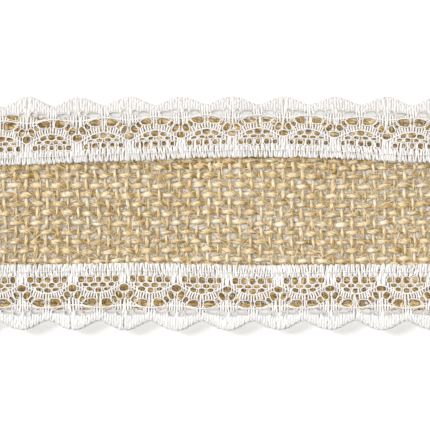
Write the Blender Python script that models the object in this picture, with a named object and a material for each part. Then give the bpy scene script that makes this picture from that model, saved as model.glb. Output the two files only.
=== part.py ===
"""Burlap table runner with a scalloped lace trim sewn along both long edges.

Everything is in metres. The runner lies flat on the plane z = 0 with its length along X, its width along Y and its
origin in the middle of its underside. From the bottom up it is a woven burlap band, a lace trim on each long edge of
the band's upper side, and one lockstitch seam in each trim. A seam is a needle thread on the lace and a bobbin thread
sunk in the band's underside.
"""

import math

import bmesh
import bpy

MM = 0.001

# Driving dimensions of the burlap band
RUNNER_LENGTH = 914.4 * MM
BAND_WIDTH = 50.0 * MM
BAND_THICKNESS = 1.6 * MM

# Driving dimensions of the lace trim
LACE_OVERHANG = 5.0 * MM  # how far a scallop's tip reaches past the band's edge
LACE_WIDTH = 17.0 * MM  # from the straight header edge to a scallop's tip
LACE_THICKNESS = 0.6 * MM
SCALLOP_REPEAT = 13.15 * MM
SCALLOP_DEPTH = 2.4 * MM  # from a tip back to the valley between two scallops
SCALLOP_FULLNESS = 0.8  # power on the wave: 1 is a plain cosine, smaller makes the tips broader
FRONT_TIP_OFFSET = 3.1 * MM  # a scallop's tip along X from the middle of the runner
BACK_TIP_OFFSET = 4.4 * MM
POINTS_PER_SCALLOP = 8

# Driving dimensions of the seams
SEAM_INSET = 1.9 * MM  # from the lace's header edge to the line of stitches
THREAD_DIAMETER = 0.4 * MM
THREAD_BEVEL_RESOLUTION = 2

# Clearances
LAYER_GAP = 0.3 * MM  # between a layer and the one that lies on it
THREAD_GAP = 0.3 * MM  # around a bobbin thread in its groove
CUTTER_MARGIN = 2.0 * MM  # how far a cutter runs past the faces that it cuts

# Colours as red, green, blue and opacity
BURLAP_COLOR = (0.55, 0.40, 0.22, 1.0)
LACE_COLOR = (0.88, 0.87, 0.86, 1.0)
THREAD_COLOR = (0.86, 0.84, 0.80, 1.0)

# Derived places
HALF_LENGTH = RUNNER_LENGTH / 2
HALF_BAND = BAND_WIDTH / 2
TIP_Y = HALF_BAND + LACE_OVERHANG
HEADER_Y = TIP_Y - LACE_WIDTH
SEAM_Y = HEADER_Y + SEAM_INSET
LACE_BOTTOM = BAND_THICKNESS + LAYER_GAP
LACE_TOP = LACE_BOTTOM + LACE_THICKNESS
NEEDLE_THREAD_Z = LACE_TOP + LAYER_GAP + THREAD_DIAMETER / 2
GROOVE_SIZE = THREAD_DIAMETER + 2 * THREAD_GAP
BOBBIN_THREAD_Z = THREAD_GAP + THREAD_DIAMETER / 2


def clear_scene():
    for obj in list(bpy.data.objects):
        bpy.data.objects.remove(obj, do_unlink=True)


def new_collection(name):
    collection = bpy.data.collections.new(name)
    bpy.context.scene.collection.children.link(collection)
    return collection


def make_material(name, color, roughness):
    material = bpy.data.materials.new(name)
    material.use_nodes = True
    shader = material.node_tree.nodes["Principled BSDF"]
    shader.inputs["Base Color"].default_value = color
    shader.inputs["Roughness"].default_value = roughness
    shader.inputs["Metallic"].default_value = 0.0
    return material


def make_box(name, size, centre, collection):
    """A box of the given side lengths, with its scale in the mesh."""
    mesh = bpy.data.meshes.new(name)
    shape = bmesh.new()
    bmesh.ops.create_cube(shape, size=1.0)
    bmesh.ops.scale(shape, vec=size, verts=shape.verts)
    shape.to_mesh(mesh)
    shape.free()
    box = bpy.data.objects.new(name, mesh)
    box.location = centre
    collection.objects.link(box)
    return box


def cut_with(target, cutter):
    cutter.hide_render = True
    cutter.display_type = "WIRE"
    cut = target.modifiers.new(cutter.name, "BOOLEAN")
    cut.operation = "DIFFERENCE"
    cut.solver = "EXACT"
    cut.object = cutter


def make_burlap_band(parts, cutters, material):
    """The woven band, with a shallow groove on its underside for each bobbin thread."""
    band = make_box(
        "burlap_band",
        (RUNNER_LENGTH, BAND_WIDTH, BAND_THICKNESS),
        (0.0, 0.0, BAND_THICKNESS / 2),
        parts,
    )
    band.data.materials.append(material)
    for side_name, side in (("front", -1), ("back", 1)):
        groove = make_box(
            "groove_cutter_" + side_name,
            (RUNNER_LENGTH + 2 * CUTTER_MARGIN, GROOVE_SIZE, GROOVE_SIZE + CUTTER_MARGIN),
            (0.0, side * SEAM_Y, (GROOVE_SIZE - CUTTER_MARGIN) / 2),
            cutters,
        )
        cut_with(band, groove)
    return band


def scallop_edge(x, tip_offset):
    """Distance from the runner's centre line to the lace's outer edge at x."""
    wave = 0.5 + 0.5 * math.cos(2 * math.pi * (x - tip_offset) / SCALLOP_REPEAT)
    return TIP_Y - SCALLOP_DEPTH * (1 - wave**SCALLOP_FULLNESS)


def scallop_stations(tip_offset):
    """Places along X that follow the scallops, with one at each tip and each valley and one at each cut end."""
    step = SCALLOP_REPEAT / POINTS_PER_SCALLOP
    first = math.ceil((-HALF_LENGTH - tip_offset) / step)
    last = math.floor((HALF_LENGTH - tip_offset) / step)
    inner = [tip_offset + step * i for i in range(first, last + 1)]
    inner = [x for x in inner if abs(x) < HALF_LENGTH - step / 4]
    return [-HALF_LENGTH] + inner + [HALF_LENGTH]


def make_lace_trim(side_name, side, tip_offset, parts, material):
    """A flat trim with a straight header edge on the band and a scalloped edge past it."""
    stations = scallop_stations(tip_offset)
    outline = [(x, side * scallop_edge(x, tip_offset)) for x in stations]
    outline += [(HALF_LENGTH, side * HEADER_Y), (-HALF_LENGTH, side * HEADER_Y)]
    curve = bpy.data.curves.new("lace_trim_" + side_name, "CURVE")
    curve.dimensions = "2D"
    curve.fill_mode = "BOTH"
    curve.extrude = LACE_THICKNESS / 2
    spline = curve.splines.new("POLY")
    spline.points.add(len(outline) - 1)
    for point, (x, y) in zip(spline.points, outline):
        point.co = (x, y, 0.0, 1.0)
    spline.use_cyclic_u = True
    curve.materials.append(material)
    lace = bpy.data.objects.new("lace_trim_" + side_name, curve)
    lace.location = (0.0, 0.0, LACE_BOTTOM + LACE_THICKNESS / 2)
    parts.objects.link(lace)
    return lace


def make_thread(name, y, z, parts, material):
    """A straight run of sewing thread from one end of the runner to the other."""
    curve = bpy.data.curves.new(name, "CURVE")
    curve.dimensions = "3D"
    curve.bevel_depth = THREAD_DIAMETER / 2
    curve.bevel_resolution = THREAD_BEVEL_RESOLUTION
    curve.use_fill_caps = True
    spline = curve.splines.new("POLY")
    spline.points.add(1)
    spline.points[0].co = (-HALF_LENGTH, 0.0, 0.0, 1.0)
    spline.points[1].co = (HALF_LENGTH, 0.0, 0.0, 1.0)
    curve.materials.append(material)
    thread = bpy.data.objects.new(name, curve)
    thread.location = (0.0, y, z)
    parts.objects.link(thread)
    return thread


def main():
    clear_scene()
    parts = new_collection("table_runner")
    cutters = new_collection("cutters")
    cutters.hide_render = True
    burlap = make_material("burlap", BURLAP_COLOR, 0.95)
    lace = make_material("lace", LACE_COLOR, 0.7)
    thread = make_material("sewing_thread", THREAD_COLOR, 0.6)
    make_burlap_band(parts, cutters, burlap)
    for side_name, side, tip_offset in (("front", -1, FRONT_TIP_OFFSET), ("back", 1, BACK_TIP_OFFSET)):
        make_lace_trim(side_name, side, tip_offset, parts, lace)
        make_thread("needle_thread_" + side_name, side * SEAM_Y, NEEDLE_THREAD_Z, parts, thread)
        make_thread("bobbin_thread_" + side_name, side * SEAM_Y, BOBBIN_THREAD_Z, parts, thread)


main()
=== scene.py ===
"""Lace-edged burlap table runner, built yarn by yarn and thread by thread.

A woven jute band with loose fibres, a scalloped lace on each long edge and the two lockstitch seams that hold
the lace. The runner is one strip, made here in stretches along its length so that no mesh is too heavy. Sizes
inside the functions are millimetres, and Strands turns them into metres.
"""

import math

import bpy
import numpy as np
from bpy.props import FloatProperty, FloatVectorProperty, IntProperty, PointerProperty
from bpy.types import Operator, Panel, PropertyGroup
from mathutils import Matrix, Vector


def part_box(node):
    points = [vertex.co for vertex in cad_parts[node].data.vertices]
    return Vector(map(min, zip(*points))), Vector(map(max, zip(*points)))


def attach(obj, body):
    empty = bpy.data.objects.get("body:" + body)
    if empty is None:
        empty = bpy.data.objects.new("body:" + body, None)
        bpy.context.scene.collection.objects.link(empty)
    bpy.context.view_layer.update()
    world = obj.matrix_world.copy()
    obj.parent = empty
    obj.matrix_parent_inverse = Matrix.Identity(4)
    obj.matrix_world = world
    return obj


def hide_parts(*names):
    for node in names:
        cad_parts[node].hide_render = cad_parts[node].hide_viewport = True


bl_info = {
    "name": "Lace-Edged Burlap Runner",
    "version": (1, 0, 0),
    "blender": (4, 5, 0),
    "location": "View3D > Sidebar > Runner",
    "description": "Weaves a burlap table runner, trims it with scalloped lace and lights it",
    "category": "Add Mesh",
}

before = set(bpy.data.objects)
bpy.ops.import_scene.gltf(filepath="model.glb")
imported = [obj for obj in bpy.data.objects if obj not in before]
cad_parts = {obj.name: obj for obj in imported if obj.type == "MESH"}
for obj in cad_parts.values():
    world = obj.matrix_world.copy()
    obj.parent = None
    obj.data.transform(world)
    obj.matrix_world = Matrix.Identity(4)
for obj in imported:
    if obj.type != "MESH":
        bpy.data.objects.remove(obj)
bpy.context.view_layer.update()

MM = 0.001
TURN = 2 * math.pi


def box_mm(node):
    """A CAD node's lowest and highest corner in millimetres."""
    return np.array(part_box(node)) / MM


BAND = box_mm("burlap_band")
LACE = box_mm("lace_trim_back")
NEEDLE = box_mm("needle_thread_back")
BOBBIN = box_mm("bobbin_thread_back")
HALF_LENGTH = float(BAND[1][0])
HALF_BAND = float(BAND[1][1])
BAND_TOP = float(BAND[1][2])
HEADER_Y = float(LACE[0][1])
LACE_WIDTH = float(LACE[1][1] - LACE[0][1])
LACE_Z = float(LACE[0][2] + LACE[1][2]) / 2
SEAM_Y = float(NEEDLE[0][1] + NEEDLE[1][1]) / 2
NEEDLE_Z = float(NEEDLE[0][2])
BOBBIN_Z = float(BOBBIN[0][2] + BOBBIN[1][2]) / 2
SIDES = {"front": -1, "back": 1}


# ---------------------------------------------------------------- settings


class RunnerClothSettings(PropertyGroup):
    """The woven band."""

    crosswise_yarns: IntProperty(
        name="Crosswise Yarns", description="Yarns that cross the band over its whole length",
        default=350, min=10,
    )
    open_yarns: IntProperty(
        name="Open Yarns", description="Lengthwise yarns in the open middle of the band", default=11, min=3
    )
    selvedge_yarns: IntProperty(
        name="Selvedge Yarns", description="Closer lengthwise yarns under each lace", default=7, min=1
    )
    lengthwise_spacing: FloatProperty(
        name="Lengthwise Spacing", description="Distance between two lengthwise yarns in millimetres",
        default=2.38,
    )
    lengthwise_width: FloatProperty(
        name="Lengthwise Yarn Width", description="Width of a lengthwise yarn in millimetres", default=1.3
    )
    crosswise_width: FloatProperty(
        name="Crosswise Yarn Width", description="Width of a crosswise yarn in millimetres", default=0.86
    )
    selvedge_spacing: FloatProperty(
        name="Selvedge Spacing", description="Distance between two yarns under the lace in millimetres",
        default=1.68,
    )
    stretches: IntProperty(
        name="Stretches", description="Meshes that the strip is divided into along its length",
        default=5, min=1,
    )
    # The jute's colours run from the darkest to cream. Besides random tone, painted light puts the palest on
    # the crowns' lit side, and painted shade puts the darkest in the dives, on low loose fibres and under the
    # lace.
    cream: FloatVectorProperty(
        name="Cream", description="Palest colour of the jute",
        subtype="COLOR", size=3, default=(0.81, 0.765, 0.65),
    )
    straw: FloatVectorProperty(
        name="Straw", description="Usual colour of the jute",
        subtype="COLOR", size=3, default=(0.74, 0.57, 0.30),
    )
    fuzz: FloatVectorProperty(
        name="Fuzz", description="Colour of the jute's loose fibres",
        subtype="COLOR", size=3, default=(0.93, 0.78, 0.54),
    )
    rust: FloatVectorProperty(
        name="Rust", description="Colour of the jute's rare stained places",
        subtype="COLOR", size=3, default=(0.57, 0.36, 0.13),
    )
    # Darkest jute colour: the fibres' own dark tone, and also the painted shade.
    bark_and_shade: FloatVectorProperty(
        name="Bark", description="Darkest colour of the jute",
        subtype="COLOR", size=3, default=(0.33, 0.20, 0.035),
    )


class RunnerLaceSettings(PropertyGroup):
    """The lace and the seams that hold it."""

    repeat: FloatProperty(name="Repeat", description="Length of one scallop in millimetres", default=13.15)
    depth: FloatProperty(
        name="Scallop Depth", description="From a scallop's tip back to the valley, in millimetres",
        default=2.4,
    )
    front_offset: FloatProperty(
        name="Front Offset", description="A front tip's distance from the middle in millimetres", default=3.1
    )
    back_offset: FloatProperty(
        name="Back Offset", description="A back tip's distance from the middle in millimetres", default=4.4
    )
    stitch: FloatProperty(name="Stitch", description="Length of one seam stitch in millimetres", default=4.65)
    white: FloatVectorProperty(
        name="White", description="Colour of the lace thread",
        subtype="COLOR", size=3, default=(0.85, 0.835, 0.82),
    )
    # The colour that the front scallops are painted toward as painted shade, and the darker side of the
    # lace's streaks.
    shaded: FloatVectorProperty(
        name="Shaded White", description="Darkest colour of the lace thread",
        subtype="COLOR", size=3, default=(0.67, 0.685, 0.70),
    )


class RunnerStageSettings(PropertyGroup):
    """The floor, the light and the camera."""

    key_elevation: FloatProperty(
        name="Key Elevation", description="Height of the key light",
        subtype="ANGLE", unit="ROTATION", default=math.radians(25.5),
    )
    key_azimuth: FloatProperty(
        name="Key Azimuth", description="Side that the key light comes from, from +X towards +Y",
        subtype="ANGLE", unit="ROTATION", default=math.radians(158),
    )
    view_width: FloatProperty(
        name="View Width", description="Width of the floor that the camera sees",
        unit="LENGTH", default=0.1107,
    )


# ---------------------------------------------------------------- numbers along a yarn


def wander(rng, strands, stations, spacing):
    """Smooth random values from -1 to 1, a row for each strand, with a knot every spacing of the stations."""
    start = stations.min()
    knots = rng.uniform(-1, 1, (strands, int((stations.max() - start) / spacing) + 3))
    at = (stations - start) / spacing
    low = at.astype(int)
    part = at - low
    part = part * part * (3 - 2 * part)
    return knots[:, low] * (1 - part) + knots[:, low + 1] * part


def make_drift(rng, waves, low, high, amount):
    """A smooth field over the cloth that pushes both families of yarns alike, as handling does."""
    length = rng.uniform(low, high, waves)
    angle = rng.uniform(0, TURN, waves)
    phase = rng.uniform(0, TURN, waves)

    def drift(x, y):
        total = np.zeros(np.broadcast(x, y).shape)
        for far, turn, shift in zip(length, angle, phase):
            total += np.sin(TURN * (x * math.cos(turn) + y * math.sin(turn)) / far + shift)
        return amount * total / math.sqrt(waves)

    return drift


# ---------------------------------------------------------------- strands to meshes


class Strands:
    """Collects tubes and turns them into one mesh with closed ends."""

    def __init__(self):
        self.points, self.quads, self.caps, self.along, self.around, self.tint = [], [], [], [], [], []
        self.count = 0

    def add(self, centres, half_width, half_height, sides, rng, closed=False, lobes=None, tone=None):
        """Adds tubes along centres, an array of strands by rings by 3. Each ring may have its own widths.
        lobes swells each ring's sides, as strands by rings by sides. tone lightens each ring, from 0 to 1,
        and carries painted light and shade."""
        centres = np.asarray(centres, float)
        strands, rings = centres.shape[:2]
        if closed:
            tangent = np.roll(centres, -1, 1) - np.roll(centres, 1, 1)
        else:
            tangent = np.gradient(centres, axis=1)
        tangent /= np.maximum(np.linalg.norm(tangent, axis=2, keepdims=True), 1e-9)
        side = np.cross(tangent, (0.0, 0.0, 1.0))
        side /= np.maximum(np.linalg.norm(side, axis=2, keepdims=True), 1e-6)
        lift = np.cross(side, tangent)
        angle = TURN * (np.arange(sides) + 0.5) / sides
        wide = np.broadcast_to(half_width, (strands, rings))[:, :, None, None]
        high = np.broadcast_to(half_height, (strands, rings))[:, :, None, None]
        if lobes is not None:
            wide, high = wide * lobes[..., None], high * lobes[..., None]
        places = (
            centres[:, :, None]
            + side[:, :, None] * wide * np.cos(angle)[:, None]
            + lift[:, :, None] * high * np.sin(angle)[:, None]
        )
        index = self.count + np.arange(strands * rings * sides).reshape(strands, rings, sides)
        here = index if closed else index[:, :-1]
        ahead = np.roll(index, -1, 1) if closed else index[:, 1:]
        quads = np.stack([here, ahead, np.roll(ahead, -1, 2), np.roll(here, -1, 2)], -1)
        step = np.linalg.norm(np.diff(centres, axis=1, append=centres[:, :1]), axis=2)
        run = np.concatenate([np.zeros((strands, 1)), np.cumsum(step, 1)], 1)
        run = run + rng.uniform(0, 500, (strands, 1))
        last = rings if closed else rings - 1
        start = np.broadcast_to(run[:, :last, None], (strands, last, sides))
        end = np.broadcast_to(run[:, 1 : last + 1, None], (strands, last, sides))
        turn = np.broadcast_to(np.arange(sides) / sides, (strands, last, sides))
        self.points.append(places.reshape(-1, 3))
        self.quads.append(quads.reshape(-1, 4))
        self.along.append(np.stack([start, end, end, start], -1).reshape(-1, 4))
        self.around.append(np.stack([turn, turn, turn + 1 / sides, turn + 1 / sides], -1).reshape(-1, 4))
        # The tint mixes random tone with the painted light and shade given as tone.
        tint = rng.uniform(0, 1, (strands, 1))
        tint = np.broadcast_to(tint if tone is None else 0.35 * tint + 0.65 * tone, (strands, rings))
        self.tint.append(np.repeat(tint.reshape(-1), sides))
        if not closed:
            self.caps.append((index[:, 0], sides))
            self.caps.append((index[:, -1, ::-1], sides))
        self.count += strands * rings * sides

    def to_mesh(self, name):
        points = np.concatenate(self.points) * MM
        quads = np.concatenate(self.quads)
        corners = [quads.reshape(-1)]
        totals = [np.full(len(quads), 4)]
        for rings, sides in self.caps:
            corners.append(rings.reshape(-1))
            totals.append(np.full(len(rings), sides))
        corners, totals = np.concatenate(corners), np.concatenate(totals)
        mesh = bpy.data.meshes.new(name)
        mesh.vertices.add(len(points))
        mesh.vertices.foreach_set("co", points.astype(np.float32).ravel())
        mesh.loops.add(len(corners))
        mesh.loops.foreach_set("vertex_index", corners.astype(np.int32))
        mesh.polygons.add(len(totals))
        starts = np.concatenate([[0], np.cumsum(totals)[:-1]])
        mesh.polygons.foreach_set("loop_start", starts.astype(np.int32))
        mesh.polygons.foreach_set("loop_total", totals.astype(np.int32))
        mesh.update(calc_edges=True)
        mesh.polygons.foreach_set("use_smooth", totals == 4)
        self.add_maps(mesh, len(quads), len(corners))
        tint = mesh.attributes.new("tint", "FLOAT", "POINT")
        tint.data.foreach_set("value", np.concatenate(self.tint).astype(np.float32))
        return mesh

    def add_maps(self, mesh, quads, corners):
        """Strand holds millimetres along and turns around. OFBake lays the faces out in rows."""
        along, around = np.concatenate(self.along), np.concatenate(self.around)
        strand = np.zeros((corners, 2))
        strand[: quads * 4] = np.stack([along, around], -1).reshape(-1, 2)
        mesh.uv_layers.new(name="Strand").uv.foreach_set("vector", strand.astype(np.float32).ravel())
        columns = math.ceil(math.sqrt(quads))
        cell = np.arange(quads)
        low = np.stack([cell % columns, cell // columns], -1)[:, None]
        corner = np.array([(0.1, 0.1), (0.9, 0.1), (0.9, 0.9), (0.1, 0.9)])
        laid = np.full((corners, 2), 0.5 / columns)
        laid[: quads * 4] = ((low + corner) / columns).reshape(-1, 2)
        mesh.uv_layers.new(name="OFBake").uv.foreach_set("vector", laid.astype(np.float32).ravel())
        mesh.uv_layers["Strand"].active = True
        mesh.uv_layers["Strand"].active_render = True


def add_piece(name, strands, material, nodes):
    """Makes a piece from its strands, puts it on the frame and hides the CAD nodes that it is drawn in place
    of.
    """
    mesh = strands.to_mesh(name)
    mesh.materials.append(material)
    piece = bpy.data.objects.new(name, mesh)
    bpy.context.scene.collection.objects.link(piece)
    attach(piece, "root")
    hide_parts(*nodes)
    return piece


# ---------------------------------------------------------------- materials


def new_node(tree, kind, **values):
    node = tree.nodes.new(kind)
    for key, value in values.items():
        setattr(node, key, value)
    return node


def twisted_fibres_group():
    """Streaks that follow a strand's twist, and slow patches along it. Reads the Strand map."""
    group = bpy.data.node_groups.get("Twisted Fibres")
    if group:
        return group
    group = bpy.data.node_groups.new("Twisted Fibres", "ShaderNodeTree")
    sockets = group.interface
    for name, value in (("Lay Length", 8.0), ("Fineness", 4.0), ("Stretch", 0.35), ("Patch Length", 9.0)):
        socket = sockets.new_socket(name, in_out="INPUT", socket_type="NodeSocketFloat")
        socket.default_value = value
    for name in ("Streaks", "Patches", "Stains"):
        sockets.new_socket(name, in_out="OUTPUT", socket_type="NodeSocketFloat")
    link = group.links.new
    inputs = new_node(group, "NodeGroupInput")
    outputs = new_node(group, "NodeGroupOutput")
    strand = new_node(group, "ShaderNodeUVMap", uv_map="Strand")
    split = new_node(group, "ShaderNodeSeparateXYZ")
    link(strand.outputs["UV"], split.inputs["Vector"])
    lay = new_node(group, "ShaderNodeMath", operation="DIVIDE")
    link(split.outputs["X"], lay.inputs[0])
    link(inputs.outputs["Lay Length"], lay.inputs[1])
    turned = new_node(group, "ShaderNodeMath", operation="ADD")
    link(lay.outputs[0], turned.inputs[0])
    link(split.outputs["Y"], turned.inputs[1])
    angle = new_node(group, "ShaderNodeMath", operation="MULTIPLY")
    link(turned.outputs[0], angle.inputs[0])
    angle.inputs[1].default_value = TURN
    across = new_node(group, "ShaderNodeMath", operation="COSINE")
    upward = new_node(group, "ShaderNodeMath", operation="SINE")
    link(angle.outputs[0], across.inputs[0])
    link(angle.outputs[0], upward.inputs[0])
    slow = new_node(group, "ShaderNodeMath", operation="MULTIPLY")
    link(split.outputs["X"], slow.inputs[0])
    link(inputs.outputs["Stretch"], slow.inputs[1])
    place = new_node(group, "ShaderNodeCombineXYZ")
    link(across.outputs[0], place.inputs["X"])
    link(upward.outputs[0], place.inputs["Y"])
    link(slow.outputs[0], place.inputs["Z"])
    streaks = new_node(group, "ShaderNodeTexNoise")
    streaks.inputs["Detail"].default_value = 4.0
    streaks.inputs["Roughness"].default_value = 0.6
    link(place.outputs["Vector"], streaks.inputs["Vector"])
    link(inputs.outputs["Fineness"], streaks.inputs["Scale"])
    link(streaks.outputs["Fac"], outputs.inputs["Streaks"])
    far = new_node(group, "ShaderNodeMath", operation="DIVIDE")
    link(split.outputs["X"], far.inputs[0])
    link(inputs.outputs["Patch Length"], far.inputs[1])
    for name, row, scale in (("Patches", 0.0, 1.0), ("Stains", 7.0, 1.6)):
        patch_place = new_node(group, "ShaderNodeCombineXYZ")
        patch_place.inputs["Y"].default_value = row
        link(far.outputs[0], patch_place.inputs["X"])
        patches = new_node(group, "ShaderNodeTexNoise")
        patches.inputs["Scale"].default_value = scale
        patches.inputs["Detail"].default_value = 2.0
        link(patch_place.outputs["Vector"], patches.inputs["Vector"])
        link(patches.outputs["Fac"], outputs.inputs[name])
    return group


def fibre_material(name, colors, stain, roughness, fibres, streak_range, patch_share, bump, sheen):
    """Thread or yarn that runs from the first colour to the last by its streaks, patches and tint."""
    material = bpy.data.materials.get(name)
    if material:
        return material
    material = bpy.data.materials.new(name)
    material.use_nodes = True
    tree = material.node_tree
    link = tree.links.new
    shader = tree.nodes["Principled BSDF"]
    shader.inputs["Roughness"].default_value = roughness
    shader.inputs["Sheen Weight"].default_value = sheen
    shader.inputs["Sheen Roughness"].default_value = 0.5
    shader.inputs["Specular IOR Level"].default_value = 0.3
    group = new_node(tree, "ShaderNodeGroup", node_tree=twisted_fibres_group())
    for key, value in fibres.items():
        group.inputs[key].default_value = value
    # The streaks set the colour here and the bump below, so the colour darkens where the bump dips: the
    # fibres' own colour, and painted shade in the twist's grooves.
    spread = new_node(tree, "ShaderNodeMapRange")
    spread.inputs["From Min"].default_value = streak_range[0]
    spread.inputs["From Max"].default_value = streak_range[1]
    link(group.outputs["Streaks"], spread.inputs["Value"])
    # The tint attribute carries painted light and shade from the strands' tone, besides random tone.
    tint = new_node(tree, "ShaderNodeAttribute", attribute_name="tint")
    slow = new_node(tree, "ShaderNodeMix", data_type="FLOAT")
    slow.inputs["Factor"].default_value = 0.7
    link(group.outputs["Patches"], slow.inputs["A"])
    link(tint.outputs["Fac"], slow.inputs["B"])
    blend = new_node(tree, "ShaderNodeMix", data_type="FLOAT")
    blend.inputs["Factor"].default_value = patch_share
    link(spread.outputs["Result"], blend.inputs["A"])
    link(slow.outputs["Result"], blend.inputs["B"])
    ramp = new_node(tree, "ShaderNodeValToRGB")
    stops = ramp.color_ramp.elements
    while len(stops) < len(colors):
        stops.new(0.5)
    for number, color in enumerate(colors):
        stops[number].position = 0.3 + 0.45 * number / (len(colors) - 1)
        stops[number].color = (*color, 1.0)
    link(blend.outputs["Result"], ramp.inputs["Fac"])
    stained = new_node(tree, "ShaderNodeMapRange")
    stained.inputs["From Min"].default_value = 0.57
    stained.inputs["From Max"].default_value = 0.72
    stained.inputs["To Max"].default_value = 0.8
    link(group.outputs["Stains"], stained.inputs["Value"])
    color = new_node(tree, "ShaderNodeMix", data_type="RGBA")
    link(stained.outputs["Result"], color.inputs["Factor"])
    link(ramp.outputs["Color"], color.inputs["A"])
    color.inputs["B"].default_value = (*stain, 1.0)
    link(color.outputs["Result"], shader.inputs["Base Color"])
    relief = new_node(tree, "ShaderNodeBump")
    relief.inputs["Strength"].default_value = bump
    relief.inputs["Distance"].default_value = 0.12 * MM
    link(group.outputs["Streaks"], relief.inputs["Height"])
    link(relief.outputs["Normal"], shader.inputs["Normal"])
    return material


def jute_material():
    cloth = bpy.context.scene.runner_cloth
    fibres = {"Lay Length": 8.0, "Fineness": 1.9, "Stretch": 0.35, "Patch Length": 5.0}
    colors = (cloth.bark_and_shade, cloth.straw, cloth.cream)
    return fibre_material("jute", colors, cloth.rust, 0.8, fibres, (0.40, 0.60), 0.62, 1.0, 0.1)


def fuzz_material():
    cloth = bpy.context.scene.runner_cloth
    fibres = {"Lay Length": 8.0, "Fineness": 1.9, "Stretch": 0.35, "Patch Length": 5.0}
    colors = (cloth.bark_and_shade, cloth.straw, cloth.fuzz)
    return fibre_material("loose_jute", colors, cloth.straw, 0.8, fibres, (0.3, 0.7), 0.85, 0.3, 0.1)


def lace_material():
    lace = bpy.context.scene.runner_lace
    fibres = {"Lay Length": 1.6, "Fineness": 2.0, "Stretch": 1.5, "Patch Length": 3.0}
    colors = (lace.shaded, lace.white)
    return fibre_material("lace_thread", colors, lace.white, 0.6, fibres, (0.25, 0.5), 0.6, 0.3, 0.1)


def seam_material():
    lace = bpy.context.scene.runner_lace
    fibres = {"Lay Length": 1.2, "Fineness": 2.0, "Stretch": 1.2, "Patch Length": 20.0}
    shade = tuple(0.8 * part for part in lace.white)
    colors = (shade, lace.white)
    return fibre_material("seam_thread", colors, shade, 0.45, fibres, (0.25, 0.5), 0.1, 0.3, 0.05)


def floor_material():
    material = bpy.data.materials.new("pale_floor")
    material.use_nodes = True
    tree = material.node_tree
    shader = tree.nodes["Principled BSDF"]
    shader.inputs["Roughness"].default_value = 0.9
    shader.inputs["Specular IOR Level"].default_value = 0.1
    grain = new_node(tree, "ShaderNodeTexNoise")
    grain.inputs["Scale"].default_value = 400.0
    tone = new_node(tree, "ShaderNodeMix", data_type="RGBA")
    tone.inputs["A"].default_value = (0.87, 0.875, 0.88, 1.0)
    tone.inputs["B"].default_value = (0.90, 0.905, 0.91, 1.0)
    tree.links.new(grain.outputs["Fac"], tone.inputs["Factor"])
    tree.links.new(tone.outputs["Result"], shader.inputs["Base Color"])
    return material


# ---------------------------------------------------------------- burlap

RINGS_PER_CROSSING = 4
YARN_SIDES = 7
CROSSING_LIFT = 0.40  # how far a yarn's middle rises and falls about the cloth's middle
YARN_HALF_HEIGHT = 0.34
CLOTH_MIDDLE = 0.78
HEIGHT_WANDER = 0.03
LENGTHWISE_WANDER = 0.26  # how far a lengthwise yarn strays sideways
CROSSWISE_WANDER = 0.3
CROWN_SLANT = 0.11  # how far the twist turns a crown out of line
LAY_LENGTH = 8.0
PAINTED_HIGHLIGHT_SHIFT = 0.7  # how far before a crown's top the yarn is palest, in radians of its wave: a painted highlight on the crown's side towards the key light
SELVEDGE_FULLNESS = 1.22  # how much thicker the yarns under the lace are
SELVEDGE_PAINTED_SHADE = 0.36  # how pale the crowns under the lace are beside those of the open middle: painted shade of the lace above them
BACK_BARE = 1.0  # how much farther out the bowed back lace starts than the front one
BARE_EDGE = 0.3  # from the strip's nominal edge to the ends of the crosswise yarns


def yarn_widths(rng, strands, stations, half_width):
    """Half widths of uneven hand: slubs over a centimetre or so, and finer lumps."""
    lumps = wander(rng, strands, stations, 3.0)
    slubs = wander(rng, strands, stations, 14.0)
    heavy = np.clip(wander(rng, strands, stations, 22.0) - 0.6, 0, 1) * 1.3
    factor = 1 + 0.16 * lumps + 0.18 * slubs + heavy + rng.uniform(-0.08, 0.1, (strands, 1))
    return half_width * np.clip(factor, 0.6, 1.75)


def twisted_lobes(rng, lines, sides):
    """How far each side of a yarn stands out: soft ridges that follow its twist."""
    strands, rings = lines.shape[:2]
    step = np.linalg.norm(np.diff(lines, axis=1, prepend=lines[:, :1]), axis=2)
    run = np.cumsum(step, 1)[:, :, None]
    around = TURN * (np.arange(sides) + 0.5) / sides
    stations = np.arange(rings, dtype=float)
    lobes = np.ones((strands, rings, sides))
    for ridges, height in ((2, 0.13), (3, 0.13)):
        lay = LAY_LENGTH * rng.uniform(0.85, 1.2, (strands, 1, 1))
        phase = rng.uniform(0, TURN, (strands, 1, 1))
        strength = height * (1 + 0.6 * wander(rng, strands, stations, 12.0))[:, :, None]
        lobes += strength * np.cos(ridges * (around + TURN * run / lay) + phase)
    return lobes


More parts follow.
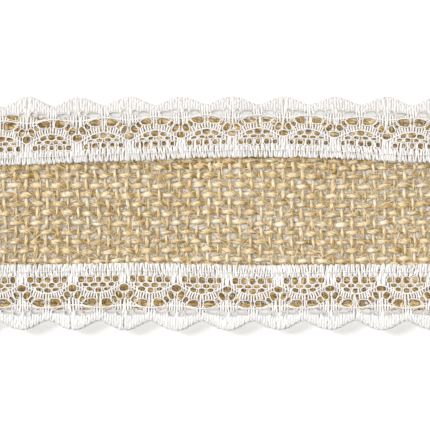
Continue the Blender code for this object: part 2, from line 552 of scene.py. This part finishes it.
class Weave:
    """Works out where every yarn of the band runs."""

    def __init__(self, cloth):
        rng = np.random.default_rng(11)
        self.cross_pitch = 2 * HALF_LENGTH / cloth.crosswise_yarns
        self.cross_count = cloth.crosswise_yarns
        self.drift_x = make_drift(rng, waves=7, low=18.0, high=90.0, amount=0.40)
        self.drift_y = make_drift(rng, waves=7, low=18.0, high=90.0, amount=0.26)
        self.fullness = make_drift(rng, waves=6, low=22.0, high=80.0, amount=0.12)
        middle = (np.arange(cloth.open_yarns) - (cloth.open_yarns - 1) / 2) * cloth.lengthwise_spacing
        selvedge = middle[-1] + (np.arange(cloth.selvedge_yarns) + 1) * cloth.selvedge_spacing
        self.long_y = np.concatenate([-selvedge[::-1], middle, selvedge])
        self.long_count = len(self.long_y)
        self.open_half = middle[-1] + cloth.selvedge_spacing / 2
        self.cross_x = (np.arange(self.cross_count) + 0.5) * self.cross_pitch - HALF_LENGTH
        self.lengthwise(rng, cloth)
        self.crosswise(rng, cloth)

    def lengthwise(self, rng, cloth):
        rings = self.cross_count * RINGS_PER_CROSSING + 1
        x = np.linspace(-HALF_LENGTH, HALF_LENGTH, rings)
        parity = (-1.0) ** np.arange(self.long_count)[:, None]
        phase = math.pi * (x - self.cross_x[0]) / self.cross_pitch
        y = self.long_y[:, None] + LENGTHWISE_WANDER * wander(rng, self.long_count, x, 7.0)
        y = y + CROWN_SLANT * parity * np.sin(phase)
        wave = parity * np.cos(phase)
        wide = yarn_widths(rng, self.long_count, x, cloth.lengthwise_width / 2) * (0.84 + 0.22 * wave**2)
        wide = wide * (1 + self.fullness(x, y)) * self.selvedge(self.long_y[:, None], SELVEDGE_FULLNESS)
        thick = YARN_HALF_HEIGHT * (wide / (cloth.lengthwise_width / 2)) ** 0.4
        z = CLOTH_MIDDLE + CROSSING_LIFT * wave + HEIGHT_WANDER * wander(rng, self.long_count, x, 5.0)
        self.long_lines = self.placed(x + 0 * y, y, z)
        self.long_wide, self.long_thick = wide, thick
        # Painted light: each yarn is painted palest on its crown's side towards the key light, and painted
        # shade where it dives under a crossing yarn.
        self.long_painted_light = 0.5 + 0.5 * parity * np.cos(phase + PAINTED_HIGHLIGHT_SHIFT)
        # Painted shade of the lace: the yarns under it are painted darker.
        self.long_painted_light = self.long_painted_light * self.selvedge(self.long_y[:, None], SELVEDGE_PAINTED_SHADE)
        self.long_lobes = twisted_lobes(rng, self.long_lines, YARN_SIDES)

    def crosswise(self, rng, cloth):
        rings = self.long_count * RINGS_PER_CROSSING + 1
        half = HALF_BAND - BARE_EDGE
        y = np.linspace(-half, half, rings)
        parity = (-1.0) ** np.arange(self.cross_count)[:, None]
        phase = math.pi * np.interp(y, self.long_y, np.arange(self.long_count))
        x = self.cross_x[:, None] + CROSSWISE_WANDER * wander(rng, self.cross_count, y, 6.0)
        x = x + CROWN_SLANT * parity * np.sin(phase)
        wave = -parity * np.cos(phase)
        wide = yarn_widths(rng, self.cross_count, y, cloth.crosswise_width / 2) * (0.88 + 0.16 * wave**2)
        wide = wide * (1 + self.fullness(x, y))
        thick = YARN_HALF_HEIGHT * (wide / (cloth.crosswise_width / 2)) ** 0.4
        z = CLOTH_MIDDLE + CROSSING_LIFT * wave + HEIGHT_WANDER * wander(rng, self.cross_count, y, 5.0)
        self.cross_lines = self.placed(x, y + 0 * x, z)
        self.cross_wide, self.cross_thick = wide, thick
        # Painted light: each yarn is painted palest on its crown's side towards the key light, and painted
        # shade where it dives under a crossing yarn.
        self.cross_painted_light = 0.5 - 0.5 * parity * np.cos(phase - PAINTED_HIGHLIGHT_SHIFT)
        # Painted shade of the lace: the yarns under it are painted darker.
        self.cross_painted_light = self.cross_painted_light * self.selvedge(y, SELVEDGE_PAINTED_SHADE)
        self.cross_lobes = twisted_lobes(rng, self.cross_lines, YARN_SIDES)

    def selvedge(self, y, factor):
        """The factor where the lace covers the cloth, and 1 in its open middle."""
        return np.where((y < -self.open_half) | (y > self.open_half + BACK_BARE), factor, 1.0)

    def placed(self, x, y, z):
        """Moves points with the cloth's drift, and keeps them inside the strip's ends and above the table."""
        ends = np.clip((HALF_LENGTH - np.abs(x)) / 6.0, 0, 1)
        edges = np.clip((HALF_BAND - np.abs(y)) / 3.0, 0.2, 1)
        moved_x = x + ends * self.drift_x(x, y)
        moved_y = y + edges * self.drift_y(x, y)
        return np.stack([moved_x, moved_y, z], -1)

    def stretch(self, number, count):
        """The strands of one stretch: its share of the rings along and of the yarns across."""
        rng = np.random.default_rng(100 + number)
        first, last = (round(self.cross_count * part / count) for part in (number, number + 1))
        rings = slice(first * RINGS_PER_CROSSING, last * RINGS_PER_CROSSING + 1)
        strands = Strands()
        along, across = np.s_[:, rings], np.s_[first:last]
        for part, lines, wide, thick, lobes, tone in (
            (along, self.long_lines, self.long_wide, self.long_thick, self.long_lobes, self.long_painted_light),
            (across, self.cross_lines, self.cross_wide, self.cross_thick, self.cross_lobes, self.cross_painted_light),
        ):
            # tone holds each yarn's painted light and shade.
            ridges, pale = lobes[part], tone[part]
            strands.add(lines[part], wide[part], thick[part], YARN_SIDES, rng, lobes=ridges, tone=pale)
        return strands


# Each kind of loose fibre: how many start in a millimetre of the strip, the shortest, the longest, the rings,
# the half width, the half thickness, and the lowest and the highest middle.
LOOSE_FIBRES = (
    (70.0, 1.5, 3.3, 2, 0.15, 0.03, (0.3, 1.0)),
    (20.0, 1.4, 3.2, 3, 0.11, 0.045, (0.4, 1.5)),
    (4.2, 2.5, 8.0, 6, 0.09, 0.06, (1.2, 1.7)),
    (2.0, 2.5, 6.0, 6, 0.13, 0.09, (1.6, 2.0)),
)
FIBRE_DEPTHS = (0.3, 0.9)  # the heights between which the loose fibres turn pale: painted shade on the fibres low in the weave
FIBRE_PAINTED_LIGHT = (0.65, 1.0)  # how pale they are at those heights, as painted light and shade
FIBRE_OVERHANG = 3.0  # how far they may reach past the strip's ends
# How pale the loose fibres under the lace are: painted shade of the lace above them.
SELVEDGE_FIBRE_PAINTED_SHADE = 0.2


def loose_fibres(number, count):
    """Short fibres that stand off the yarns and cross the gaps, and a few long ones that lie on the cloth."""
    rng = np.random.default_rng(200 + number)
    low = -HALF_LENGTH + 2 * HALF_LENGTH * number / count
    high = low + 2 * HALF_LENGTH / count
    strands = Strands()
    for share, shortest, longest, rings, wide, thick, height in LOOSE_FIBRES:
        amount = round(share * (high - low))
        start_x = rng.uniform(low, high, amount)
        start_y = rng.uniform(-HALF_BAND + 0.6, HALF_BAND - 0.6, amount)
        length = rng.uniform(shortest, longest, amount)[:, None]
        along = np.linspace(0, 1, rings)[None]
        heading = rng.uniform(0, TURN, amount)[:, None] + rng.normal(0, 0.9, (amount, 1)) * along
        step = length / (rings - 1)
        x = start_x[:, None] + np.cumsum(np.cos(heading) * step, 1)
        y = start_y[:, None] + np.cumsum(np.sin(heading) * step, 1)
        z = rng.uniform(*height, amount)[:, None] + 0.25 * rng.normal(0, 1, (amount, 1)) * (along - 0.5)
        z = np.clip(z, 0.1, BAND_TOP + 0.15)
        y = np.clip(y, 0.8 - HALF_BAND, HALF_BAND - 0.8)
        fade = rng.uniform(0.6, 1.4, (amount, 1)) * (1 - 0.5 * along**2)
        x = np.clip(x, -HALF_LENGTH - FIBRE_OVERHANG, HALF_LENGTH + FIBRE_OVERHANG)
        covered = (y < -HEADER_Y) | (y > HEADER_Y + BACK_BARE)
        # Painted shade: fibres under the lace, and low ones in the weave, are painted darker.
        tone = np.where(covered, SELVEDGE_FIBRE_PAINTED_SHADE, np.interp(z, FIBRE_DEPTHS, FIBRE_PAINTED_LIGHT))
        strands.add(np.stack([x, y, z], -1), wide * fade, thick * fade, 3, rng, tone=tone)
    return strands


# ---------------------------------------------------------------- lace

PILLARS = 20  # upright threads in one repeat
PILLAR_ZONES = (3.0, 5.0, 5.6, 7.0, 12.0, 13.0)  # how far out the uprights' size changes
PILLAR_HALF_WIDTHS = (0.295, 0.275, 0.22, 0.25, 0.245, 0.46)
PILLAR_HALF_HEIGHTS = (0.13, 0.13, 0.13, 0.13, 0.13, 0.05)
RIM_HALF_WIDTH = 0.15
RIM_HALF_HEIGHT = 0.12
SCALLOP_PAINTED_LIGHT = {"front": 0.0, "back": 1.0}  # how white the trims' scallops are: the front ones are painted toward the shaded white as painted shade of the cloth's edge, the back ones stay white
OVERHANG_THINNING = 0.7  # how thin the threads past the cloth's edge are beside the others
GROUND_LEVELS = (13.55, 14.2, 14.85, 15.5, 16.1)  # how far out the flat threads that fill the scallops lie
GROUND_HALF_WIDTH = 0.34
GROUND_HALF_HEIGHT = 0.02
NET_ROWS = (4.1, 5.5, 6.8)  # where the net's three rows of holes lie
NET_SIZES = {"front": (1.0, 1.0, 1.0), "back": (0.82, 0.86, 1.16)}
HEADER_FRAY = 0.22  # how far the header's loops start out of line
GARLAND_OUT = 7.6
GARLAND_LEAN = 0.45
HALF_REPEAT = 6.5
NET_CELL = HALF_REPEAT / 3

# Each hole is its middle along from the flower's axis and outward from the header edge, its half width, half
# height, lean in degrees and taper along its length. A hole at a distance along has a mirror image.
HOLES = (
    (0.0, 6.25, 1.28, 0.94, 0, 0.0),
    (1.28, 8.0, 0.84, 1.16, 32, 0.1),
    (2.5, 9.15, 0.74, 1.04, 34, 0.0),
    (4.25, 9.95, 1.78, 1.06, 3, 0.3),
    (3.75, 12.05, 1.6, 0.78, 6, -0.3),
    (1.4, 12.6, 0.8, 0.62, -10, 0.0),
    (HALF_REPEAT, 4.1, 0.92, 0.96, 0, 0.0),
    (HALF_REPEAT - NET_CELL, 4.1, 0.92, 0.96, 0, 0.0),
    (HALF_REPEAT - 2 * NET_CELL, 4.0, 0.86, 0.90, 0, 0.0),
    (HALF_REPEAT - 0.5 * NET_CELL, 5.5, 0.98, 0.64, 0, 0.0),
    (HALF_REPEAT - 1.5 * NET_CELL, 5.4, 0.90, 0.56, 8, 0.0),
    (HALF_REPEAT, 6.8, 0.94, 0.74, 0, 0.0),
    (HALF_REPEAT - NET_CELL, 6.5, 0.92, 0.62, 12, 0.0),
)

# The header edge doesn't run quite straight. Each wave is its height, its length and the place of its top.
BOWS = {
    "front": ((0.15, 90.0, 20.0), (0.1, 47.0, 5.0)),
    "back": ((1.0, 150.0, 6.0), (0.4, 400.0, 100.0), (0.3, 5000.0, 0.0)),
}
NEEDLE_PUSH = 0.3  # how far the seam's needle parts the threads of the lace
DROOP = 0.08  # how far the lace falls in each millimetre past the cloth's edge


class LacePattern:
    """One trim laid flat: along is measured from the middle of the runner, out from the header edge."""

    def __init__(self, lace, side_name):
        self.side = SIDES[side_name]
        self.rng = np.random.default_rng(31 if side_name == "front" else 32)
        self.repeat, self.depth = lace.repeat, lace.depth
        self.offset = lace.front_offset if side_name == "front" else lace.back_offset
        self.stitch = lace.stitch
        self.net_sizes = NET_SIZES[side_name]
        self.scallop_painted_light = SCALLOP_PAINTED_LIGHT[side_name]
        self.bows = BOWS[side_name]
        self.drift_along = make_drift(self.rng, waves=6, low=12.0, high=70.0, amount=0.13)
        self.drift_out = make_drift(self.rng, waves=6, low=9.0, high=60.0, amount=0.10)
        self.lift = make_drift(self.rng, waves=6, low=10.0, high=50.0, amount=0.07)
        self.slant = make_drift(self.rng, waves=6, low=5.0, high=30.0, amount=0.16)

    def place(self, along, out, height=0.0):
        """Where a point of the flat pattern lies on the runner, in millimetres."""
        out_share = np.clip(out / LACE_WIDTH, 0, 1)
        from_needle = np.mod(along / self.stitch + 0.5, 1) * self.stitch - self.stitch / 2
        parted = np.tanh(from_needle / 0.15) * np.exp(-((from_needle / 0.5) ** 2))
        parted = parted * np.exp(-(((HEADER_Y + out - SEAM_Y) / 0.5) ** 2))
        x = along + self.drift_along(along, out) + NEEDLE_PUSH * parted
        bow = sum(rise * np.cos(TURN * (along - top) / length) for rise, length, top in self.bows)
        bowed = out + self.drift_out(along, out) + bow * (1 - out_share**3)
        droop = DROOP * np.clip(HEADER_Y + out - HALF_BAND, 0, None)
        z = LACE_Z - 0.12 + self.lift(along, out) - droop + height
        inside = np.clip(x, -HALF_LENGTH, HALF_LENGTH)
        return np.stack([inside, self.side * (HEADER_Y + bowed), z + 0 * inside], -1)

    def edge(self, along):
        wave = 0.5 + 0.5 * np.cos(TURN * (along - self.offset) / self.repeat)
        return LACE_WIDTH - self.depth * (1 - wave**0.8)

    def repeats(self, low, high):
        """The axes of the flowers from low to high."""
        first = math.ceil((low - self.offset) / self.repeat)
        last = math.ceil((high - self.offset) / self.repeat)
        return self.offset + self.repeat * np.arange(first, last)

    def holes_near(self, axes):
        """Middle along, middle out, half width, half height, lean and taper of every hole of these repeats.
        No two are quite alike."""
        rows = []
        for across, out, wide, high, lean, taper in HOLES:
            on_middle = across in (0.0, HALF_REPEAT)
            size = np.interp(out, NET_ROWS, self.net_sizes) if across > 1.9 and out < 7 else 1.0
            for way in (1,) if on_middle else (1, -1):
                row = np.empty((len(axes), 6))
                row[:, 0] = axes + way * across / HALF_REPEAT * self.repeat / 2
                row[:, 1:] = (out, wide * size, high * size, math.radians(way * lean), way * taper)
                row[:, 2] *= 1 + 0.09 * np.sin(3.7 * row[:, 0] + 5.1 * out)
                row[:, 3] *= 1 + 0.11 * np.sin(5.3 * row[:, 0] + 2.9 * out)
                row[:, 4] += 0.12 * np.sin(4.1 * row[:, 0] + 6.7 * out)
                rows.append(row)
        return np.concatenate(rows)


def hole_rims(holes, points):
    """The rims of the holes in the flat pattern, as rounded boxes that lean and taper."""
    turn = TURN * np.arange(points) / points
    across = np.sign(np.cos(turn)) * np.abs(np.cos(turn)) ** 0.8
    upward = np.sign(np.sin(turn)) * np.abs(np.sin(turn)) ** 0.8
    wide, high, lean, taper = (holes[:, i, None] for i in (2, 3, 4, 5))
    flat = across * wide
    tall = upward * high * (1 + taper * across)
    along = holes[:, 0, None] + flat * np.cos(lean) - tall * np.sin(lean)
    out = holes[:, 1, None] + flat * np.sin(lean) + tall * np.cos(lean)
    return along, out


def in_holes(along, out, holes):
    """Whether each point lies in a hole."""
    found = np.zeros(np.broadcast(along, out).shape, bool)
    for middle, far, wide, high, lean, taper in holes:
        right, up = along - middle, out - far
        flat = (right * math.cos(lean) + up * math.sin(lean)) / wide
        tall = (up * math.cos(lean) - right * math.sin(lean)) / (high * (1 + taper * np.clip(flat, -1, 1)))
        found |= np.abs(flat) ** 2.5 + np.abs(tall) ** 2.5 < 1.15
    return found


def pillar_runs(pattern, axis):
    """The solid runs of the upright threads in one repeat, as (along, start, end)."""
    holes = pattern.holes_near(np.array([axis - pattern.repeat, axis, axis + pattern.repeat]))
    holes = holes[np.abs(holes[:, 0] - axis) < pattern.repeat / 2 + 2]
    step = 0.1
    out = np.arange(0.05, LACE_WIDTH, step)
    runs = []
    for number in range(PILLARS):
        along = axis + pattern.repeat * ((number + 0.5) / PILLARS - 0.5)
        solid = ~in_holes(np.full(len(out), along), out, holes) & (out < pattern.edge(along) - 0.1)
        marks = np.flatnonzero(np.diff(np.concatenate([[0], solid.astype(int), [0]])))
        for first, last in zip(marks[::2], marks[1::2]):
            if (last - first) * step > 0.35:
                runs.append((along, out[first], out[last - 1]))
    return runs


def add_pillars(strands, pattern, axes):
    """Upright threads, gathered by how many rings they need so that equal ones are made together."""
    grouped = {}
    for axis in axes:
        for along, start, end in pillar_runs(pattern, axis):
            rings = max(3, round((end - start) / 0.6) + 1)
            grouped.setdefault(rings, []).append((along, start, end))
    for rings, runs in sorted(grouped.items()):
        along, start, end = (np.array(column)[:, None] for column in zip(*runs))
        part = np.linspace(0, 1, rings)[None]
        start = start - HEADER_FRAY * pattern.rng.uniform(-1, 1, start.shape) * (start < 0.2)
        out = start + (end - start) * part
        lean = pattern.rng.normal(0, 0.06, (len(out), 1)) + pattern.slant(along, out) * (out < 3.5)
        along = along + lean * (out - out.mean(1, keepdims=True)) + pattern.rng.normal(0, 0.04, out.shape)
        height = pattern.rng.normal(0, 0.03, out.shape) * np.interp(out, (11.0, 13.0), (1.0, 0.3))
        phase = TURN * (along - pattern.offset) / pattern.repeat
        beyond = out - GARLAND_OUT
        along = along - GARLAND_LEAN * np.sin(phase) * beyond * np.exp(-((beyond / 1.5) ** 2))
        uneven = 1 + pattern.rng.uniform(-0.15, 0.2, out.shape)
        wide = np.interp(out, PILLAR_ZONES, PILLAR_HALF_WIDTHS) * uneven
        wide = wide * (1 + 0.3 * np.clip(np.cos(phase), 0, 1) * ((out < 5.4) + 0.5 * (out > 8)))
        thick = np.interp(out, PILLAR_ZONES, PILLAR_HALF_HEIGHTS)
        # Painted shade on the front scallops, which are painted darker as if shaded by the cloth's edge.
        tone = np.interp(out, (11.5, 13.0), (1.0, pattern.scallop_painted_light))
        strands.add(pattern.place(along, out, height), wide, thick, 5, pattern.rng, tone=tone)


def add_rims(strands, pattern, axes):
    holes = pattern.holes_near(axes)
    along, out = hole_rims(holes, 12)
    along = along + pattern.rng.normal(0, 0.025, along.shape)
    out = out + pattern.rng.normal(0, 0.025, out.shape)
    keep = (np.abs(along) < HALF_LENGTH).all(1)
    rims = pattern.place(along, out, 0.06)
    wide = RIM_HALF_WIDTH * np.where(holes[keep, 1, None] > 11.5, OVERHANG_THINNING, 1.0)
    strands.add(rims[keep], wide, RIM_HALF_HEIGHT, 5, pattern.rng, closed=True, tone=1.0)


def add_long_threads(strands, pattern, low, high):
    """Threads that run the length of the trim: the header's loops, the cord and the scalloped rim."""
    loops = round((high - low) / pattern.repeat * PILLARS / 2)
    part = np.linspace(0, loops, loops * 8 + 1)
    swing = np.cos(TURN * part)
    loose = pattern.rng.normal(0, 0.1, len(part))
    along = low + (high - low) * part / loops
    edge = pattern.edge(along)
    phase = TURN * (along - pattern.offset) / pattern.repeat
    for out, wide, high, height, tone in (
        (1.55 + 1.6 * swing + loose, 0.16, 0.13, 0.1, 1.0),
        (5.1 + 2.5 * (0.5 - 0.5 * np.cos(phase)) ** 0.6 + 0.3 * loose, 0.18, 0.12, 0.08, 1.0),
        (10.9 - 0.35 * np.cos(phase) + 0.4 * loose, 0.2, 0.18, 0.06 - 0.14 * np.cos(phase), 1.0),
        # Painted shade on the front scallops' rim loops.
        (edge - 0.75 + 0.6 * swing + 0.5 * loose, 0.13, 0.05, 0.03, pattern.scallop_painted_light),
    ):
        strands.add(pattern.place(along, out, height)[None], wide, high, 5, pattern.rng, tone=tone)
    for number, level in enumerate(GROUND_LEVELS):
        out = np.minimum(level, edge - 0.45) + 0.3 * loose
        line = pattern.place(along, out, -0.03 - 0.012 * number)
        # Painted shade on the front scallops' flat filling threads.
        tone = pattern.scallop_painted_light
        strands.add(line[None], GROUND_HALF_WIDTH, GROUND_HALF_HEIGHT, 4, pattern.rng, tone=tone)


def lace_stretch(pattern, number, count):
    low = -HALF_LENGTH + 2 * HALF_LENGTH * number / count
    high = low + 2 * HALF_LENGTH / count
    axes = pattern.repeats(low - pattern.repeat / 2, high - pattern.repeat / 2)
    start = max(-HALF_LENGTH, axes[0] - pattern.repeat / 2)
    end = min(HALF_LENGTH, axes[-1] + pattern.repeat / 2)
    if number == 0:
        start, axes = -HALF_LENGTH, np.concatenate([[axes[0] - pattern.repeat], axes])
    if number == count - 1:
        end, axes = HALF_LENGTH, np.concatenate([axes, [axes[-1] + pattern.repeat]])
    strands = Strands()
    add_pillars(strands, pattern, axes)
    add_rims(strands, pattern, axes)
    add_long_threads(strands, pattern, start, end)
    return strands


# ---------------------------------------------------------------- seams


def seam_line(pattern, number, count, upper):
    """One stretch of a seam's upper or lower thread, dipping into the cloth at every stitch."""
    stretch = 2 * HALF_LENGTH / count
    low = -HALF_LENGTH + stretch * number
    rings = round(8 * stretch / pattern.stitch) + 1
    along = np.linspace(low, low + stretch, rings)
    dip = np.clip(np.abs(np.mod(along / pattern.stitch + 0.5, 1) - 0.5) * 5, 0, 1)
    dip = dip * dip * (3 - 2 * dip)
    line = pattern.place(along, np.full(len(along), SEAM_Y - HEADER_Y))
    if upper:
        line[:, 2] = LACE_Z - 0.35 + (NEEDLE_Z - LACE_Z + 0.1) * dip
    else:
        line[:, 2] = BOBBIN_Z + 0.35 * (1 - dip)
    return line


# ---------------------------------------------------------------- operators


def stretch_names(context, kind):
    """The names of a kind of piece, one for each stretch of the strip."""
    return [f"{kind}_{number + 1}" for number in range(context.scene.runner_cloth.stretches)]


class RUNNER_OT_weave(Operator):
    """Weave the burlap band from lengthwise and crosswise jute yarns"""

    bl_idname = "runner.weave"
    bl_label = "Weave Burlap"

    def execute(self, context):
        weave = Weave(context.scene.runner_cloth)
        names = stretch_names(context, "burlap_cloth")
        for number, name in enumerate(names):
            strands = weave.stretch(number, len(names))
            add_piece(name, strands, jute_material(), ["burlap_band"])
        return {"FINISHED"}


class RUNNER_OT_fuzz(Operator):
    """Scatter the loose fibres that stand off the burlap's yarns and cross its gaps"""

    bl_idname = "runner.fuzz"
    bl_label = "Scatter Loose Fibres"

    def execute(self, context):
        names = stretch_names(context, "loose_fibres")
        for number, name in enumerate(names):
            strands = loose_fibres(number, len(names))
            add_piece(name, strands, fuzz_material(), ["burlap_band"])
        return {"FINISHED"}


class RUNNER_OT_trim(Operator):
    """Lay a scalloped lace along each long edge of the burlap"""

    bl_idname = "runner.trim"
    bl_label = "Lay Lace Trims"

    def execute(self, context):
        lace = context.scene.runner_lace
        bands = stretch_names(context, "burlap_cloth")
        for side_name in SIDES:
            pattern = LacePattern(lace, side_name)
            for number, name in enumerate(stretch_names(context, f"lace_{side_name}")):
                strands = lace_stretch(pattern, number, len(bands))
                trim = add_piece(name, strands, lace_material(), [f"lace_trim_{side_name}"])
        return {"FINISHED"}


class RUNNER_OT_sew(Operator):
    """Sew both trims down with lockstitch"""

    bl_idname = "runner.sew"
    bl_label = "Sew Seams"

    def execute(self, context):
        patterns = {side_name: LacePattern(context.scene.runner_lace, side_name) for side_name in SIDES}
        bands = stretch_names(context, "burlap_cloth")
        fibres = stretch_names(context, "loose_fibres")
        for number, (band, loose) in enumerate(zip(bands, fibres)):
            seams = [self.add_stitches(kind, patterns, number, len(bands)) for kind in ("needle", "bobbin")]
        return {"FINISHED"}

    def add_stitches(self, kind, patterns, number, count):
        strands = Strands()
        for pattern in patterns.values():
            line = seam_line(pattern, number, count, kind == "needle")
            strands.add(line[None], 0.11, 0.1, 6, pattern.rng)
        nodes = [f"{kind}_thread_{side_name}" for side_name in patterns]
        return add_piece(f"{kind}_stitches_{number + 1}", strands, seam_material(), nodes)


# Each light's strength, its width in degrees and its colour.
KEY_LIGHT = (2.45, 18, (1.0, 0.99, 0.98))
TOP_LIGHT = (2.35, 26, (1.0, 0.978, 0.96))
TOP_ELEVATION = math.radians(87)
SKY_COLOR = (1.0, 0.95, 0.85, 1.0)
SKY_STRENGTH = 0.14
FLOOR_SIZE = 8.0
FLOOR_DROP = 0.25 * MM  # just clears the lowest yarns
CAMERA_SHIFT = -0.4 * MM


class RUNNER_OT_stage(Operator):
    """Lay the pale floor, light it softly and aim the camera straight down"""

    bl_idname = "runner.stage"
    bl_label = "Set Stage"

    def execute(self, context):
        stage = context.scene.runner_stage
        bpy.ops.mesh.primitive_plane_add(size=FLOOR_SIZE, location=(0.0, 0.0, -FLOOR_DROP))
        floor = context.object
        floor.name = "floor"
        floor.data.materials.append(floor_material())
        self.add_sun("key_light", stage.key_azimuth, stage.key_elevation, *KEY_LIGHT)
        self.add_sun("top_light", stage.key_azimuth, TOP_ELEVATION, *TOP_LIGHT)
        world = bpy.data.worlds.new("studio")
        world.use_nodes = True
        world.node_tree.nodes["Background"].inputs["Color"].default_value = SKY_COLOR
        world.node_tree.nodes["Background"].inputs["Strength"].default_value = SKY_STRENGTH
        context.scene.world = world
        context.scene.view_settings.view_transform = "Standard"
        camera = bpy.data.cameras.new("camera")
        camera.lens = 135.0
        camera.clip_start = 0.01
        eye = bpy.data.objects.new("camera", camera)
        eye.location = (0.0, CAMERA_SHIFT, stage.view_width * camera.lens / camera.sensor_width)
        context.scene.collection.objects.link(eye)
        context.scene.camera = eye
        return {"FINISHED"}

    def add_sun(self, name, azimuth, elevation, strength, spread, color):
        """A light as wide as spread degrees, which sets how soft its shadows are."""
        light = bpy.data.lights.new(name, "SUN")
        light.energy = strength
        light.angle = math.radians(spread)
        light.color = color
        lamp = bpy.data.objects.new(name, light)
        lamp.rotation_euler = (math.pi / 2 - elevation, 0.0, azimuth + math.pi / 2)
        bpy.context.scene.collection.objects.link(lamp)


class RUNNER_PT_panel(Panel):
    """The runner's settings and the steps that make it"""

    bl_idname = "RUNNER_PT_panel"
    bl_label = "Burlap Runner"
    bl_space_type = "VIEW_3D"
    bl_region_type = "UI"
    bl_category = "Runner"

    def draw(self, context):
        for settings in (context.scene.runner_cloth, context.scene.runner_lace, context.scene.runner_stage):
            box = self.layout.box()
            for name in settings.__annotations__:
                box.prop(settings, name)
        for step in STEPS:
            self.layout.operator(step.bl_idname)


STEPS = (RUNNER_OT_weave, RUNNER_OT_fuzz, RUNNER_OT_trim, RUNNER_OT_sew, RUNNER_OT_stage)
CLASSES = (RunnerClothSettings, RunnerLaceSettings, RunnerStageSettings, *STEPS, RUNNER_PT_panel)


def register():
    for item in CLASSES:
        bpy.utils.register_class(item)
    bpy.types.Scene.runner_cloth = PointerProperty(type=RunnerClothSettings)
    bpy.types.Scene.runner_lace = PointerProperty(type=RunnerLaceSettings)
    bpy.types.Scene.runner_stage = PointerProperty(type=RunnerStageSettings)


def unregister():
    for name in ("runner_stage", "runner_lace", "runner_cloth"):
        delattr(bpy.types.Scene, name)
    for item in reversed(CLASSES):
        bpy.utils.unregister_class(item)


def main():
    register()
    bpy.ops.runner.weave()
    bpy.ops.runner.fuzz()
    bpy.ops.runner.trim()
    bpy.ops.runner.sew()
    bpy.ops.runner.stage()


if __name__ == "__main__":
    main()
